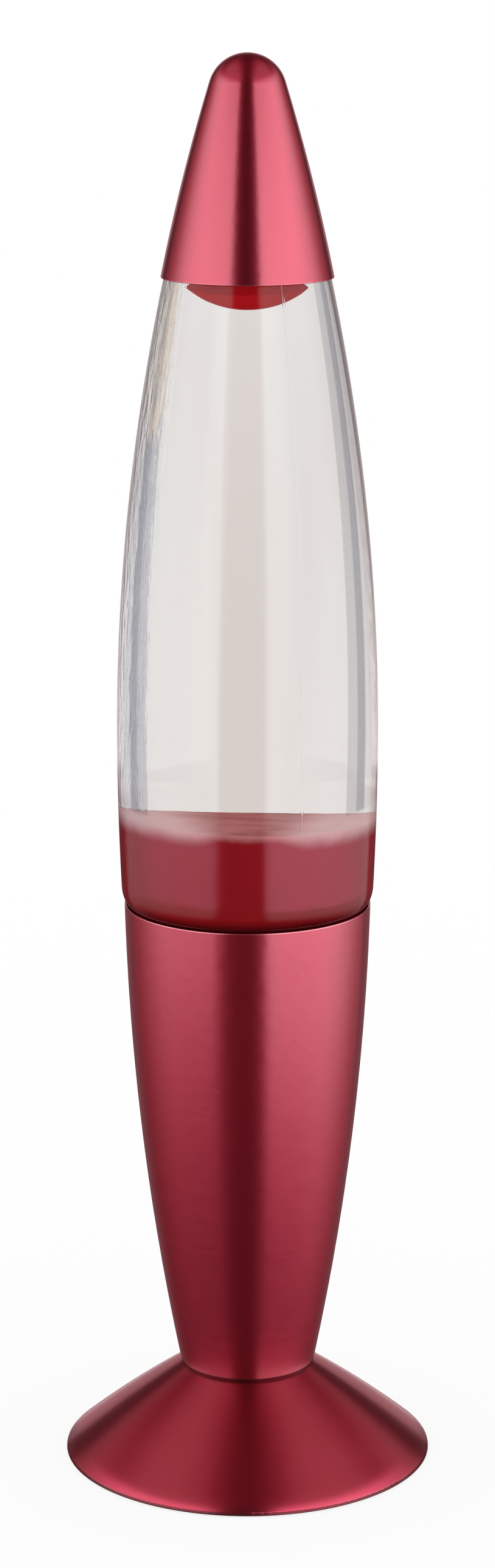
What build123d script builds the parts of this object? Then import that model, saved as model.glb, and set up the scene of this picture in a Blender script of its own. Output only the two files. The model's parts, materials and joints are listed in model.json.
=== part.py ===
from build123d import *
from math import cos, radians, sin, sqrt
import os

# Rocket lava lamp: spun aluminium foot, sleeve and cap around a glass bottle of liquid and wax.
# Millimetres. +Z is up, the origin is the middle of the footprint, and the cord enters at +Y.

# Clearances
fixed_gap = 0.1  # between pieces that are fitted once and stay
seat_gap = 0.3  # where a piece that lifts off rests on the one below
turn_gap = 0.2  # between the bulb's thread and its socket
rim_round = 0.35  # rounding of each edge of a sheet's rim, as a share of its thickness

# Foot
foot_radius = 55.3
foot_top_radius = 19.4
foot_height = 27.8
foot_bulge = 0.73  # how far the flank stands outside a straight cone
foot_wall = 0.8
foot_rim_land = 0.75  # upright strip at the rim, before its upper corner is rounded
foot_rim_round = 1.1
pad_radius = 4.5
pad_circle = 40.0
pad_drop = 0.4  # how far the pads stand below the rim
pad_height = 2.4
plate_thickness = 1.0
plate_dish_radius = 14.0
plate_dish_height = 5.0
plate_dish_round = 1.8

# Cord inlet in the back of the foot
cord_height = 8.2
cord_bore_radius = 2.6
grommet_neck_radius = 3.7
grommet_lip_radius = 4.9
grommet_lip = 0.9
grommet_length = 13.0
grommet_inset = 1.2  # from the foot's rim to the grommet's outer end

# Threaded nipple with its nuts and washers
nipple_radius = 4.9
nipple_bore_radius = 3.8
nipple_chamfer = 0.5
nut_across_flats = 14.0
nut_height = 3.0
washer_radius = 9.0
washer_thickness = 1.0
nipple_end = 1.0  # thread that shows under the lowest nut

# Sleeve
sleeve_bottom_radius = 20.1
sleeve_rim_radius = 36.5
sleeve_height = 143.8
sleeve_bulge = 3.22
sleeve_wall = 0.6
sleeve_corner_round = 1.2

# Bottle
belly_radius = 38.37
lower_curve_radius = 920.0  # flank below the belly
upper_curve_radius = 650.0  # flank above the belly
heel_round = 10.0
belly_above_heel = 43.3  # from the middle of the heel's rounding up to the belly
glass_wall = 2.2
glass_floor = 4.6
inner_heel_round = 6.5
punt_radius = 24.0
punt_rise = 2.5
shoulder_above_belly = 137.0
neck_radius = 11.2
neck_bore_radius = 8.2
neck_root = 12.0  # height of the shoulder between flank and neck
neck_length = 14.0
shoulder_round = 4.0
lip_radius = 13.2
lip_height = 4.0

# What the bottle holds
wax_fill = 27.5  # above the inside of the floor
liquid_below_shoulder = 1.0
float_radius = 13.0
float_keel = 5.7  # how deep the floating wax hangs below its widest ring
float_crown = 4.9
float_freeboard = 0.4  # how far it stands out of the liquid
coil_radius = 2.5
coil_ring_radius = 21.0

# Crown closure
crown_radius = 15.8
crown_sheet = 0.6
crown_height = 6.0
crown_flutes = 21
flute_radius = 1.3
flute_outset = 0.5  # from the skirt's edge out to a flute's middle
flute_height = 3.6
flute_taper = 15.0
liner_thickness = 0.8

# Cap
cap_rim_radius = 24.95
cap_height = 63.3
cap_wall = 0.6
cap_nose_radius = 11.3
cap_nose_angle = 17.2  # lean of the flank where the nose begins

# Bulb: 39 mm reflector with the small screw cap
bulb_length = 66.0
bulb_radius = 19.5
bulb_gap = 7.5  # from the bulb's face to the bottle
bulb_glass = 0.8
bulb_collar_radius = 5.2
bulb_collar_depth = 4.2  # how far the glass reaches down into the screw cap
bulb_neck_radius = 8.0
bulb_neck_height = 8.5
bulb_neck_round = 2.8
bulb_face_depth = 12.0  # from the top of the face's dome down to the widest ring
bulb_face_round = 5.0
bulb_face_drop = 4.5  # from the top of the face's dome to its edge
screw_major_radius = 6.92
screw_crest_radius = 0.85
screw_pitch = 2.82
screw_crests = 5
screw_end = 0.75  # turns from an end of the thread to its nearest crest
screw_sheet = 0.4
tip_radius = 2.3
tip_height = 1.0
tip_round = 0.6
insulator_radius = 4.5
insulator_height = 3.0
stem_height = 22.0
stem_radius = 1.8
lead_radius = 0.4
filament_radius = 0.5
filament_half_span = 7.0
filament_bow = 0.75

# Lampholder
holder_radius = 13.8
holder_wall = 1.4
holder_edge_round = 0.55
holder_base_height = 10.0
holder_floor = 3.0
nipple_grip = 8.0  # how far the nipple enters
spigot_height = 6.0
insert_height = 4.4  # part of the insert below its flange
insert_flange = 2.0
insert_top = 1.2
shell_socket_depth = 1.5
skirt_above_tip = 18.5
contact_width = 4.0
contact_sheet = 0.5
contact_span = 4.6
contact_gap = 0.3
contact_bow = 2.2  # free height under the tongue
terminal_spacing = 14.0
terminal_shank_radius = 1.4
terminal_head_radius = 2.5
terminal_head_height = 1.5
terminal_slot_width = 0.7


def bulge_circle(low, high, bulge):
    """Centre and radius of the arc that bulges outwards between two points of a section."""
    chord = Vector(*high) - Vector(*low)
    radius = (chord.length**2 / 4 + bulge**2) / (2 * bulge)
    outwards = Vector(chord.Y, -chord.X).normalized()
    return (Vector(*low) + Vector(*high)) * 0.5 - outwards * (radius - bulge), radius


def dome_radius(half_span, rise):
    """Radius of a shallow dome over the lamp's axis."""
    return (half_span**2 + rise**2) / (2 * rise)


def radius_at(height, centre, radius):
    """Distance from the lamp's axis to an arc of a section, at a height."""
    return centre.X + sqrt(radius**2 - (height - centre.Y) ** 2)


# Heights and places that follow from the sizes above
foot_top_z = pad_drop + foot_height
foot_flank = ((foot_radius, pad_drop + foot_rim_land), (foot_top_radius, foot_top_z))
foot_centre, foot_curve_radius = bulge_circle(*foot_flank, foot_bulge)
plate_top_z = pad_height + plate_thickness
plate_radius = radius_at(plate_top_z, foot_centre, foot_curve_radius - foot_wall) - fixed_gap
dish_top_z = plate_top_z + plate_dish_height
nipple_hole_radius = nipple_radius + fixed_gap
cord_plane = Plane(origin=(0, 0, cord_height), z_dir=(0, 1, 0))

sleeve_rim_z = foot_top_z + sleeve_height
sleeve_mouth_radius = sleeve_rim_radius - sleeve_wall
heel_centre_r = belly_radius - lower_curve_radius + sqrt(
    (lower_curve_radius - heel_round) ** 2 - belly_above_heel**2
)
heel_centre_z = sleeve_rim_z + sqrt(
    (heel_round + seat_gap) ** 2 - (sleeve_mouth_radius - heel_centre_r) ** 2
)
bottle_z = heel_centre_z - heel_round
belly_z = heel_centre_z + belly_above_heel
floor_z = bottle_z + glass_floor
shoulder_z = belly_z + shoulder_above_belly
neck_z = shoulder_z + neck_root
mouth_z = neck_z + neck_length
wax_z = floor_z + wax_fill
liquid_z = shoulder_z - liquid_below_shoulder
float_z = liquid_z + float_freeboard - float_crown

cap_seat_radius = cap_rim_radius - cap_wall - seat_gap
cap_rim_z = belly_z + sqrt(
    upper_curve_radius**2 - (upper_curve_radius - belly_radius + cap_seat_radius) ** 2
)
cap_top_z = cap_rim_z + cap_height

bulb_tip_z = bottle_z - bulb_gap - bulb_length
insert_top_z = bulb_tip_z - contact_gap - contact_sheet - contact_bow
flange_z = insert_top_z - insert_top - insert_flange
holder_z = flange_z - spigot_height - holder_base_height
nipple_top_z = holder_z + nipple_grip
nipple_bottom_z = dish_top_z - plate_thickness - washer_thickness - nut_height - nipple_end
screw_z = bulb_tip_z + insulator_height
screw_height = (screw_crests - 1 + 2 * screw_end) * screw_pitch


# Foot: a shell open below, with the nipple's hole in its top and the cord's hole in its back
with BuildPart() as foot_shell:
    with BuildSketch(Plane.XZ) as foot_section:
        with BuildLine():
            Polyline((0, foot_top_z), (0, pad_drop), (foot_radius, pad_drop), foot_flank[0])
            SagittaArc(*foot_flank, -foot_bulge)
            Line(foot_flank[1], (0, foot_top_z))
        make_face()
        rim_corner = foot_section.vertices().sort_by_distance(foot_flank[0])[0]
        fillet(rim_corner, foot_rim_round)
    revolve()
    offset(amount=-foot_wall, openings=foot_shell.faces().sort_by(Axis.Z)[0])
    with Locations((0, 0, foot_top_z)):
        Hole(nipple_hole_radius, depth=2 * foot_wall)
    with BuildSketch(cord_plane):
        Circle(grommet_neck_radius + fixed_gap)
    extrude(amount=foot_radius, mode=Mode.SUBTRACT)
foot_shell.part.label = "foot_shell"

# Bottom plate: closes the foot, dished up in the middle so that the lowest nut stays off the table
with BuildPart() as bottom_plate:
    with BuildSketch(Plane.XY.offset(pad_height)):
        Circle(plate_radius)
    extrude(amount=plate_thickness)
    with BuildSketch(Plane.XY.offset(pad_height)):
        Circle(plate_dish_radius)
    extrude(amount=plate_dish_height + plate_thickness)
    dish_edge = bottom_plate.edges().filter_by(GeomType.CIRCLE).sort_by(Axis.Z)[-1]
    fillet(dish_edge, plate_dish_round)
    with BuildSketch(Plane.XY.offset(pad_height)):
        Circle(plate_dish_radius - plate_thickness)
    extrude(amount=plate_dish_height, mode=Mode.SUBTRACT)
    Hole(nipple_hole_radius)
bottom_plate.part.label = "bottom_plate"

# Four rubber pads, stuck under the plate
foot_pads = []
for number, angle in enumerate((45, 135, 225, 315), start=1):
    with BuildPart() as foot_pad:
        with BuildSketch():
            with PolarLocations(pad_circle, 1, start_angle=angle):
                Circle(pad_radius)
        extrude(amount=pad_height)
        fillet(foot_pad.edges().group_by(Axis.Z)[0], pad_drop)
    foot_pad.part.label = f"foot_pad_{number}"
    foot_pads.append(foot_pad)


def foot_band(inner, outer):
    """Region between two surfaces that lie inner and outer outside the foot's flank."""
    with Locations((foot_centre.X, foot_centre.Y)):
        Circle(foot_curve_radius + outer)
        Circle(foot_curve_radius + inner, mode=Mode.SUBTRACT)
    with Locations((foot_top_radius, plate_top_z + fixed_gap)):
        Rectangle(foot_radius, foot_height, align=Align.MIN, mode=Mode.INTERSECT)


# Cord grommet: a level tube through the flank, with two lips that follow it and grip the sheet
with BuildPart() as gripped_sheet:
    with BuildSketch(Plane.XZ):
        foot_band(-foot_wall - fixed_gap, fixed_gap)
    revolve()
with BuildPart() as cord_grommet:
    with BuildSketch(Plane.XZ):
        foot_band(-foot_wall - fixed_gap - grommet_lip, fixed_gap + grommet_lip)
    revolve()
    with BuildSketch(cord_plane):
        Circle(grommet_lip_radius)
    extrude(amount=foot_radius, mode=Mode.INTERSECT)
    add(gripped_sheet.part, mode=Mode.SUBTRACT)
    with BuildSketch(cord_plane.offset(foot_radius - grommet_inset)):
        Circle(grommet_neck_radius)
    extrude(amount=-grommet_length)
    with BuildSketch(cord_plane):
        Circle(cord_bore_radius)
    extrude(amount=foot_radius, mode=Mode.SUBTRACT)
cord_grommet.part.label = "cord_grommet"

# Nipple: from under the bottom plate up into the lampholder
with BuildPart() as nipple:
    with BuildSketch(Plane.XY.offset(nipple_bottom_z)):
        Circle(nipple_radius)
        Circle(nipple_bore_radius, mode=Mode.SUBTRACT)
    extrude(amount=nipple_top_z - nipple_bottom_z)
    chamfer(nipple.edges().group_by(Axis.Z)[0].sort_by(SortBy.RADIUS)[-1], nipple_chamfer)
nipple.part.label = "nipple"

# One washer and nut under the plate, one under the foot's top and one on the sleeve's floor
plate_under_z = dish_top_z - plate_thickness
foot_under_z = foot_top_z - foot_wall
sleeve_floor_z = foot_top_z + sleeve_wall
with BuildPart() as nipple_washers:
    for height in (plate_under_z - washer_thickness, foot_under_z - washer_thickness, sleeve_floor_z):
        with BuildSketch(Plane.XY.offset(height)):
            Circle(washer_radius)
            Circle(nipple_hole_radius, mode=Mode.SUBTRACT)
        extrude(amount=washer_thickness)
nipple_washers.part.label = "nipple_washers"

with BuildPart() as nipple_nuts:
    for height in (
        plate_under_z - washer_thickness - nut_height,
        foot_under_z - washer_thickness - nut_height,
        sleeve_floor_z + washer_thickness,
    ):
        with BuildSketch(Plane.XY.offset(height)):
            RegularPolygon(nut_across_flats / 2, 6, major_radius=False)
            Circle(nipple_hole_radius, mode=Mode.SUBTRACT)
        extrude(amount=nut_height)
nipple_nuts.part.label = "nipple_nuts"

# Sleeve: a tall tapered cup
with BuildPart() as sleeve:
    with BuildSketch(Plane.XZ) as sleeve_section:
        with BuildLine():
            Polyline((0, sleeve_rim_z), (0, foot_top_z), (sleeve_bottom_radius, foot_top_z))
            SagittaArc((sleeve_bottom_radius, foot_top_z), (sleeve_rim_radius, sleeve_rim_z), -sleeve_bulge)
            Line((sleeve_rim_radius, sleeve_rim_z), (0, sleeve_rim_z))
        make_face()
        low_corner = sleeve_section.vertices().group_by(Axis.Y)[0].sort_by(Axis.X)[-1]
        fillet(low_corner, sleeve_corner_round)
    revolve()
    offset(amount=-sleeve_wall, openings=sleeve.faces().sort_by(Axis.Z)[-1])
    with Locations((0, 0, sleeve_floor_z)):
        Hole(nipple_hole_radius, depth=2 * sleeve_wall)
    fillet(sleeve.edges().group_by(Axis.Z)[-1], rim_round * sleeve_wall)
sleeve.part.label = "sleeve"

# Lampholder: cap on the nipple, insert with the contacts, skirt over both
holder_bore = holder_radius - holder_wall
insert_radius = holder_bore - holder_wall - 2 * fixed_gap
with BuildPart() as lampholder_cap:
    with BuildSketch(Plane.XY.offset(holder_z)):
        Circle(holder_radius)
    extrude(amount=holder_base_height)
    fillet(lampholder_cap.edges().group_by(Axis.Z)[0], holder_floor)
    with BuildSketch(Plane.XY.offset(holder_z + holder_base_height)):
        Circle(holder_bore - fixed_gap)
    extrude(amount=spigot_height)
    with BuildSketch(Plane.XY.offset(holder_z + holder_floor)):
        Circle(insert_radius + fixed_gap)
        Circle(nipple_hole_radius + holder_wall, mode=Mode.SUBTRACT)
    extrude(amount=nipple_grip - holder_floor, mode=Mode.SUBTRACT)
    with BuildSketch(Plane.XY.offset(holder_z + nipple_grip)):
        Circle(insert_radius + fixed_gap)
    extrude(amount=holder_base_height + spigot_height - nipple_grip, mode=Mode.SUBTRACT)
    with Locations((0, 0, holder_z + nipple_grip)):
        Hole(nipple_hole_radius, depth=nipple_grip)
lampholder_cap.part.label = "lampholder_cap"

shell_radius = screw_major_radius + turn_gap + screw_sheet
shell_z = insert_top_z - shell_socket_depth
with BuildPart() as lampholder_insert:
    with BuildSketch(Plane.XY.offset(flange_z - insert_height)):
        Circle(insert_radius)
    extrude(amount=insert_top_z - flange_z + insert_height)
    with BuildSketch(Plane.XY.offset(flange_z)):
        Circle(holder_bore - fixed_gap)
    extrude(amount=insert_flange)
    with BuildSketch(Plane.XY.offset(shell_z)):
        Circle(shell_radius + fixed_gap)
        Circle(screw_major_radius, mode=Mode.SUBTRACT)
    extrude(amount=shell_socket_depth, mode=Mode.SUBTRACT)
    with BuildSketch(Plane.XY.offset(flange_z - insert_height)):
        with GridLocations(terminal_spacing, 0, 2, 1):
            Circle(terminal_shank_radius + fixed_gap)
    extrude(amount=insert_height, mode=Mode.SUBTRACT)
lampholder_insert.part.label = "lampholder_insert"

with BuildPart() as lampholder_terminal_screws:
    head_z = flange_z - insert_height - terminal_head_height
    with BuildSketch(Plane.XY.offset(head_z)):
        with GridLocations(terminal_spacing, 0, 2, 1):
            Circle(terminal_head_radius)
    extrude(amount=terminal_head_height)
    with BuildSketch(Plane.XY.offset(head_z)):
        with GridLocations(terminal_spacing, 0, 2, 1):
            Rectangle(terminal_slot_width, 2 * terminal_head_radius)
    extrude(amount=terminal_head_height / 2, mode=Mode.SUBTRACT)
    with BuildSketch(Plane.XY.offset(head_z + terminal_head_height)):
        with GridLocations(terminal_spacing, 0, 2, 1):
            Circle(terminal_shank_radius)
    extrude(amount=insert_height - fixed_gap)
lampholder_terminal_screws.part.label = "lampholder_terminal_screws"

skirt_z = holder_z + holder_base_height
skirt_top_z = bulb_tip_z + skirt_above_tip
with BuildPart() as lampholder_skirt:
    with BuildSketch(Plane.XY.offset(skirt_z)):
        Circle(holder_radius)
        Circle(holder_bore, mode=Mode.SUBTRACT)
    extrude(amount=skirt_top_z - skirt_z)
    with BuildSketch(Plane.XY.offset(flange_z + insert_flange)):
        Circle(holder_bore)
        Circle(insert_radius + fixed_gap, mode=Mode.SUBTRACT)
    extrude(amount=insert_top)
    fillet(lampholder_skirt.edges().group_by(Axis.Z)[-1], holder_edge_round)
lampholder_skirt.part.label = "lampholder_skirt"


def screw_section(gap):
    """Half section of the small screw thread as plain rings, gap mm outside the bulb's own."""
    core = screw_major_radius - screw_crest_radius
    with Locations((0, screw_z)):
        Rectangle(core + gap, screw_height, align=Align.MIN)
    crests = [(core, screw_z + (turn + screw_end) * screw_pitch) for turn in range(screw_crests)]
    with Locations(*crests):
        Circle(screw_crest_radius + gap)
    with Locations((0, screw_z)):
        Rectangle(2 * screw_major_radius, screw_height, align=Align.MIN, mode=Mode.INTERSECT)


with BuildPart() as lampholder_screw_shell:
    with BuildSketch(Plane.XY.offset(shell_z)):
        Circle(shell_radius)
    extrude(amount=screw_z + screw_height - shell_z)
    with BuildSketch(Plane.XZ):
        screw_section(turn_gap)
    revolve(mode=Mode.SUBTRACT)
    with BuildSketch(Plane.XY.offset(shell_z)):
        Circle(screw_major_radius + turn_gap)
    extrude(amount=screw_z - shell_z, mode=Mode.SUBTRACT)
lampholder_screw_shell.part.label = "lampholder_screw_shell"

# Centre contact: a bowed brass tongue under the bulb's tip
with BuildPart() as lampholder_centre_contact:
    contact_top_z = bulb_tip_z - contact_gap
    with BuildSketch(Plane.XZ):
        with BuildLine():
            ThreePointArc((-contact_span, insert_top_z), (0, contact_top_z), (contact_span, insert_top_z))
            ThreePointArc(
                (-contact_span + contact_sheet, insert_top_z),
                (0, contact_top_z - contact_sheet),
                (contact_span - contact_sheet, insert_top_z),
            )
            Line((-contact_span, insert_top_z), (-contact_span + contact_sheet, insert_top_z))
            Line((contact_span, insert_top_z), (contact_span - contact_sheet, insert_top_z))
        make_face()
    extrude(amount=contact_width / 2, both=True)
lampholder_centre_contact.part.label = "lampholder_centre_contact"

# Bulb
with BuildPart() as bulb_screw_cap:
    with BuildSketch(Plane.XZ):
        screw_section(0)
    revolve()
    with BuildSketch(Plane.XY.offset(screw_z + screw_sheet)):
        Circle(bulb_collar_radius + fixed_gap)
    extrude(amount=screw_height, mode=Mode.SUBTRACT)
    with BuildSketch(Plane.XY.offset(screw_z)):
        Circle(insulator_radius + fixed_gap)
    extrude(amount=screw_sheet, mode=Mode.SUBTRACT)
bulb_screw_cap.part.label = "bulb_screw_cap"

with BuildPart() as bulb_insulator:
    with BuildSketch(Plane.XY.offset(screw_z)):
        Circle(insulator_radius)
    with BuildSketch(Plane.XY.offset(bulb_tip_z + tip_height)):
        Circle(tip_radius)
    loft()
bulb_insulator.part.label = "bulb_insulator"

with BuildPart() as bulb_contact:
    with BuildSketch(Plane.XY.offset(bulb_tip_z)):
        Circle(tip_radius)
    extrude(amount=tip_height)
    fillet(bulb_contact.edges().group_by(Axis.Z)[0], tip_round)
bulb_contact.part.label = "bulb_contact"

collar_z = screw_z + screw_height - bulb_collar_depth
neck_foot_z = screw_z + screw_height + fixed_gap
bulb_top_z = bulb_tip_z + bulb_length
with BuildPart() as bulb_envelope:
    with BuildSketch(Plane.XZ) as bulb_section:
        widest = (bulb_radius, bulb_top_z - bulb_face_depth)
        neck_top = (bulb_neck_radius, neck_foot_z + bulb_neck_height)
        edge_z = bulb_top_z - bulb_face_drop
        with BuildLine():
            Polyline(
                (0, bulb_top_z),
                (0, collar_z),
                (bulb_collar_radius, collar_z),
                (bulb_collar_radius, neck_foot_z),
                (bulb_neck_radius, neck_foot_z + bulb_neck_round),
                neck_top,
            )
            TangentArc(widest, neck_top, tangent=(0, -1))
            Line(widest, (bulb_radius, edge_z))
            RadiusArc((bulb_radius, edge_z), (0, bulb_top_z), -dome_radius(bulb_radius, bulb_face_drop))
        make_face()
        face_corner = bulb_section.vertices().sort_by_distance((bulb_radius, edge_z))[0]
        fillet(face_corner, bulb_face_round)
    revolve()
    offset(amount=-bulb_glass, openings=bulb_envelope.faces().sort_by(Axis.Z)[0])
bulb_envelope.part.label = "bulb_envelope"

stem_top_z = collar_z + stem_height
with BuildPart() as bulb_stem:
    with BuildSketch(Plane.XY.offset(collar_z)):
        Circle(bulb_collar_radius - bulb_glass - fixed_gap)
    with BuildSketch(Plane.XY.offset(collar_z + stem_height / 2)):
        Circle(stem_radius)
    loft()
    with BuildSketch(Plane.XY.offset(collar_z + stem_height / 2)):
        Circle(stem_radius)
    extrude(amount=stem_height / 2)
bulb_stem.part.label = "bulb_stem"

filament_z = stem_top_z + filament_half_span
with BuildPart() as bulb_lead_wires:
    for side in (-1, 1):
        with BuildLine(Plane.XZ) as lead:
            Line((side * stem_radius / 2, stem_top_z + lead_radius), (side * filament_half_span, filament_z))
        with BuildSketch(Plane(origin=lead.line @ 0, z_dir=lead.line % 0)):
            Circle(lead_radius)
        sweep()
bulb_lead_wires.part.label = "bulb_lead_wires"

with BuildPart() as bulb_filament:
    with BuildLine(Plane.XZ) as coil_line:
        ends = filament_z + lead_radius + filament_radius
        ThreePointArc((-filament_half_span, ends), (0, ends + filament_bow), (filament_half_span, ends))
    with BuildSketch(Plane(origin=coil_line.line @ 0, z_dir=coil_line.line % 0)):
        Circle(filament_radius)
    sweep()
bulb_filament.part.label = "bulb_filament"


# Space inside the bottle, which the wax and the liquid fill
lower_centre = Vector(belly_radius - lower_curve_radius, belly_z)
upper_centre = Vector(belly_radius - upper_curve_radius, belly_z)
with BuildPart() as bottle_inside:
    with BuildSketch(Plane.XZ) as inside_section:
        heel_z = floor_z + inner_heel_round
        heel_r = radius_at(heel_z, lower_centre, lower_curve_radius - glass_wall)
        inner_belly = (belly_radius - glass_wall, belly_z)
        inner_shoulder = (radius_at(shoulder_z, upper_centre, upper_curve_radius - glass_wall), shoulder_z)
        with BuildLine():
            Polyline((neck_bore_radius, mouth_z), (0, mouth_z), (0, floor_z), (heel_r - inner_heel_round, floor_z))
            RadiusArc((heel_r - inner_heel_round, floor_z), (heel_r, heel_z), -inner_heel_round)
            RadiusArc((heel_r, heel_z), inner_belly, -(lower_curve_radius - glass_wall))
            RadiusArc(inner_belly, inner_shoulder, -(upper_curve_radius - glass_wall))
            Polyline(inner_shoulder, (neck_bore_radius, neck_z), (neck_bore_radius, mouth_z))
        make_face()
        for corner in (inner_shoulder, (neck_bore_radius, neck_z)):
            fillet(inside_section.vertices().sort_by_distance(corner)[0], shoulder_round)
    revolve()

# Bottle: thick heel, barrel-shaped flank, shoulder and neck with a lip for the crown closure
with BuildPart() as bottle:
    with BuildSketch(Plane.XZ) as bottle_section:
        flank_z = belly_z - belly_above_heel * (1 + heel_round / (lower_curve_radius - heel_round))
        flank = (radius_at(flank_z, lower_centre, lower_curve_radius), flank_z)
        belly = (belly_radius, belly_z)
        shoulder = (radius_at(shoulder_z, upper_centre, upper_curve_radius), shoulder_z)
        with BuildLine():
            Polyline((neck_radius, mouth_z), (0, mouth_z), (0, bottle_z + punt_rise))
            RadiusArc((0, bottle_z + punt_rise), (punt_radius, bottle_z), dome_radius(punt_radius, punt_rise))
            Line((punt_radius, bottle_z), (heel_centre_r, bottle_z))
            TangentArc((heel_centre_r, bottle_z), flank, tangent=(1, 0))
            RadiusArc(flank, belly, -lower_curve_radius)
            RadiusArc(belly, shoulder, -upper_curve_radius)
            Polyline(shoulder, (neck_radius, neck_z), (neck_radius, mouth_z))
        make_face()
        for corner in (shoulder, (neck_radius, neck_z)):
            fillet(bottle_section.vertices().sort_by_distance(corner)[0], shoulder_round)
    revolve()
    with BuildSketch(Plane.XY.offset(mouth_z - lip_height)):
        Circle(lip_radius)
    extrude(amount=lip_height)
    lip_edges = bottle.faces().filter_by(GeomType.CYLINDER).sort_by(Axis.Z)[-1].edges()
    fillet(lip_edges.filter_by(GeomType.CIRCLE), (lip_radius - neck_radius) / 2)
    add(bottle_inside.part, mode=Mode.SUBTRACT)
bottle.part.label = "bottle"

# Coil of wire in a ring on the bottle's floor, as a plain ring of its outer size
coil_z = floor_z + coil_radius
with BuildPart() as wax_coil:
    with Locations((0, 0, coil_z)):
        Torus(coil_ring_radius, coil_radius - fixed_gap)
wax_coil.part.label = "wax_coil"

with BuildPart() as wax:
    add(bottle_inside.part)
    split(bisect_by=Plane.XY.offset(wax_z), keep=Keep.BOTTOM)
    with BuildSketch(Plane.XZ):
        with Locations((coil_ring_radius, coil_z)):
            Circle(coil_radius)
            Rectangle(2 * coil_radius, coil_radius, align=(Align.CENTER, Align.MAX))
    revolve(mode=Mode.SUBTRACT)
wax.part.label = "wax"

# Lens of wax that floats at the top
with BuildPart() as floating_wax:
    with BuildSketch(Plane.XZ):
        with BuildLine():
            RadiusArc((0, float_z - float_keel), (float_radius, float_z), -dome_radius(float_radius, float_keel))
            RadiusArc((float_radius, float_z), (0, float_z + float_crown), -dome_radius(float_radius, float_crown))
            Line((0, float_z - float_keel), (0, float_z + float_crown))
        make_face()
    revolve()
floating_wax.part.label = "floating_wax"

with BuildPart() as liquid:
    add(bottle_inside.part)
    split(bisect_by=Plane.XY.offset(wax_z), keep=Keep.TOP)
    split(bisect_by=Plane.XY.offset(liquid_z), keep=Keep.BOTTOM)
    add(floating_wax.part, mode=Mode.SUBTRACT)
liquid.part.label = "liquid"

# Crown closure: liner disc on the lip, and the fluted steel crown over it
with BuildPart() as crown_liner:
    with BuildSketch(Plane.XY.offset(mouth_z)):
        Circle(lip_radius - fixed_gap)
    extrude(amount=liner_thickness)
crown_liner.part.label = "crown_liner"

crown_top_z = mouth_z + liner_thickness + crown_sheet
with BuildPart() as crown_closure:
    with BuildSketch(Plane.XZ):
        with BuildLine():
            Polyline(
                (0, crown_top_z),
                (0, crown_top_z - crown_height),
                (crown_radius, crown_top_z - crown_height),
                (lip_radius + crown_sheet, crown_top_z),
                (0, crown_top_z),
            )
        make_face()
    revolve()
    fillet(crown_closure.edges().group_by(Axis.Z)[-1], 2 * crown_sheet)
    with BuildSketch(Plane.XY.offset(crown_top_z - crown_sheet)):
        Circle(lip_radius + fixed_gap)
    extrude(amount=-crown_height, mode=Mode.SUBTRACT)
    with BuildSketch(Plane.XY.offset(crown_top_z - crown_height)):
        with PolarLocations(crown_radius + flute_outset, crown_flutes):
            Circle(flute_radius)
    extrude(amount=flute_height, taper=flute_taper, mode=Mode.SUBTRACT)
crown_closure.part.label = "crown_closure"

# Cap: a thin cone with a domed nose, resting on the bottle's flank
with BuildPart() as cap:
    with BuildSketch(Plane.XZ):
        nose_r = cap_nose_radius * cos(radians(cap_nose_angle))
        nose_z = cap_top_z - cap_nose_radius * (1 - sin(radians(cap_nose_angle)))
        nose_run = (sin(radians(cap_nose_angle)), -cos(radians(cap_nose_angle)))
        with BuildLine():
            Polyline((0, cap_top_z), (0, cap_rim_z), (cap_rim_radius, cap_rim_z))
            TangentArc((nose_r, nose_z), (cap_rim_radius, cap_rim_z), tangent=nose_run)
            CenterArc(
                (0, cap_top_z - cap_nose_radius), cap_nose_radius, cap_nose_angle, 90 - cap_nose_angle
            )
        make_face()
    revolve()
    offset(amount=-cap_wall, openings=cap.faces().sort_by(Axis.Z)[0])
    fillet(cap.edges().group_by(Axis.Z)[0], rim_round * cap_wall)
cap.part.label = "cap"

pieces = [
    foot_shell, bottom_plate, *foot_pads, cord_grommet, nipple, nipple_washers, nipple_nuts, sleeve,
    lampholder_cap, lampholder_insert, lampholder_terminal_screws, lampholder_skirt,
    lampholder_screw_shell, lampholder_centre_contact, bulb_screw_cap, bulb_insulator, bulb_contact,
    bulb_envelope, bulb_stem, bulb_lead_wires, bulb_filament, bottle, wax_coil, wax, floating_wax,
    liquid, crown_liner, crown_closure, cap,
]
os.makedirs("parts", exist_ok=True)
for piece in pieces:
    export_step(piece.part, f"parts/{piece.part.label}.step")
print(f"height {cap_top_z:.2f}, bottle at {bottle_z:.2f}, belly at {belly_z:.2f}, cap rim at {cap_rim_z:.2f}")
print(f"wax to {wax_z:.2f}, liquid to {liquid_z:.2f}, bulb tip {bulb_tip_z:.2f}, holder {holder_z:.2f}")
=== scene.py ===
import json
import math

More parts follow.
